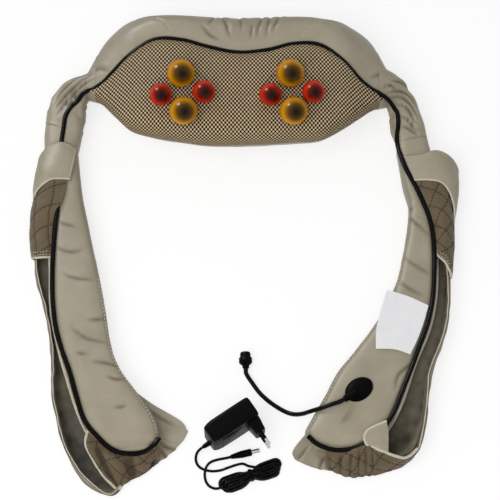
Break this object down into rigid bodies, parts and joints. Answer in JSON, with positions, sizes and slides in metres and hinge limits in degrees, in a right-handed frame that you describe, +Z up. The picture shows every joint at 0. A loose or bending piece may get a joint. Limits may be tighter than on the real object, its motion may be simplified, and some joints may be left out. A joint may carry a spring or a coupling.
{
  "type": "shiatsu neck massager",
  "caption": "Padded shawl massager for neck and shoulders: mesh cushion with turning ball heads, padded arms that end in hand muffs, a button unit, a short cord and a separate mains adapter.",
  "frame": {"origin": "on the flat base of the neck cushion, midway between the axes of the two heads", "axes": "+Z up out of the mesh side, +Y towards the collar and away from the arms, +X towards the arm with the button unit"},
  "size_m": [0.549, 0.6441, 0.133],
  "materials": {
    "taupe_leather": "soft grained imitation leather",
    "beige_mesh": "open air mesh",
    "quilted_fabric": "diamond-quilted cloth",
    "black_piping": "glossy covered cord",
    "black_cord": "smooth",
    "black_plastic": "fine satin",
    "black_rubber": "matte",
    "amber_plastic": "polished",
    "red_plastic": "polished",
    "white_label": "woven satin",
    "grey_plastic": "satin",
    "acetal": "moulded",
    "steel": "turned",
    "bronze": "sintered",
    "nickel": "nickel plated",
    "foam": "open-cell foam",
    "board": "coated"
  },
  "bodies": {
    "cushion": {"rear_cover": "taupe_leather", "mesh_panel": "beige_mesh", "neck_piping": "black_piping", "front_foam": "foam", "gearbox_base": "grey_plastic", "gearbox_cover": "grey_plastic", "cover_screw_1": "steel", "cover_screw_2": "steel", "cover_screw_3": "steel", "cover_screw_4": "steel", "drive_motor": "steel", "left_bush": "bronze", "right_bush": "bronze", "left_gather": "taupe_leather", "right_gather": "taupe_leather", "adapter_case": "black_plastic", "upper_plug_pin": "nickel", "lower_plug_pin": "nickel", "adapter_lead": "black_cord", "lead_hank": "black_cord", "lead_tail": "black_cord", "hank_tie": "black_plastic", "dc_plug": "black_plastic"},
    "worm": {"worm_shaft": "steel"},
    "left_head": {"left_worm_wheel": "acetal", "left_spindle": "steel", "left_carrier": "black_plastic", "left_upper_large_ball": "amber_plastic", "left_lower_large_ball": "amber_plastic", "left_outer_small_ball": "red_plastic", "left_inner_small_ball": "red_plastic"},
    "right_head": {"right_worm_wheel": "acetal", "right_spindle": "steel", "right_carrier": "black_plastic", "right_upper_large_ball": "amber_plastic", "right_lower_large_ball": "amber_plastic", "right_outer_small_ball": "red_plastic", "right_inner_small_ball": "red_plastic"},
    "left_arm": {"left_arm_pad": "taupe_leather", "left_arm_piping": "black_piping", "left_cuff": "taupe_leather", "left_top_hood": "quilted_fabric", "left_muff": "taupe_leather", "left_bottom_hood": "quilted_fabric"},
    "right_arm": {"right_arm_pad": "taupe_leather", "right_arm_piping": "black_piping", "right_cuff": "taupe_leather", "right_top_hood": "quilted_fabric", "right_muff": "taupe_leather", "right_bottom_hood": "quilted_fabric", "care_label": "white_label", "cable_grommet": "black_rubber", "cord": "black_cord", "dc_socket": "black_plastic", "control_case": "black_plastic", "control_fascia": "black_plastic", "control_board": "board"},
    "power_button": {"power_button": "grey_plastic"},
    "direction_button": {"direction_button": "grey_plastic"},
    "heat_button": {"heat_button": "grey_plastic"}
  },
  "joints": [
    {"name": "left_head_spin", "type": "hinge", "parent": "cushion", "child": "left_head", "pos_m": [-0.07, 0, 0.09], "axis": [0, 0, 1], "continuous": true},
    {"name": "right_head_spin", "type": "hinge", "parent": "cushion", "child": "right_head", "pos_m": [0.07, 0, 0.09], "axis": [0, 0, 1], "continuous": true},
    {"name": "worm_spin", "type": "hinge", "parent": "cushion", "child": "worm", "pos_m": [0, 0.03075, 0.038], "axis": [1, 0, 0], "continuous": true},
    {"name": "left_arm_fold", "type": "hinge", "parent": "cushion", "child": "left_arm", "pos_m": [-0.23, -0.02, 0.042], "axis": [-1, 0, 0], "range_deg": [0, 75], "deforming": ["left_gather"]},
    {"name": "right_arm_fold", "type": "hinge", "parent": "cushion", "child": "right_arm", "pos_m": [0.23, -0.02, 0.042], "axis": [-1, 0, 0], "range_deg": [0, 75], "deforming": ["right_gather"]},
    {"name": "power_press", "type": "slide", "parent": "right_arm", "child": "power_button", "axis": [0, 0, 1], "range_m": [0, 0.0012], "stiffness_N_per_m": 400, "springref_m": -0.0005},
    {"name": "direction_press", "type": "slide", "parent": "right_arm", "child": "direction_button", "axis": [0, 0, 1], "range_m": [0, 0.0012], "stiffness_N_per_m": 400, "springref_m": -0.0005},
    {"name": "heat_press", "type": "slide", "parent": "right_arm", "child": "heat_button", "axis": [0, 0, 1], "range_m": [0, 0.0012], "stiffness_N_per_m": 400, "springref_m": -0.0005}
  ],
  "couplings": [
    {"joint": "right_head_spin", "follows": "left_head_spin", "ratio": 1},
    {"joint": "worm_spin", "follows": "left_head_spin", "ratio": 24}
  ]
}
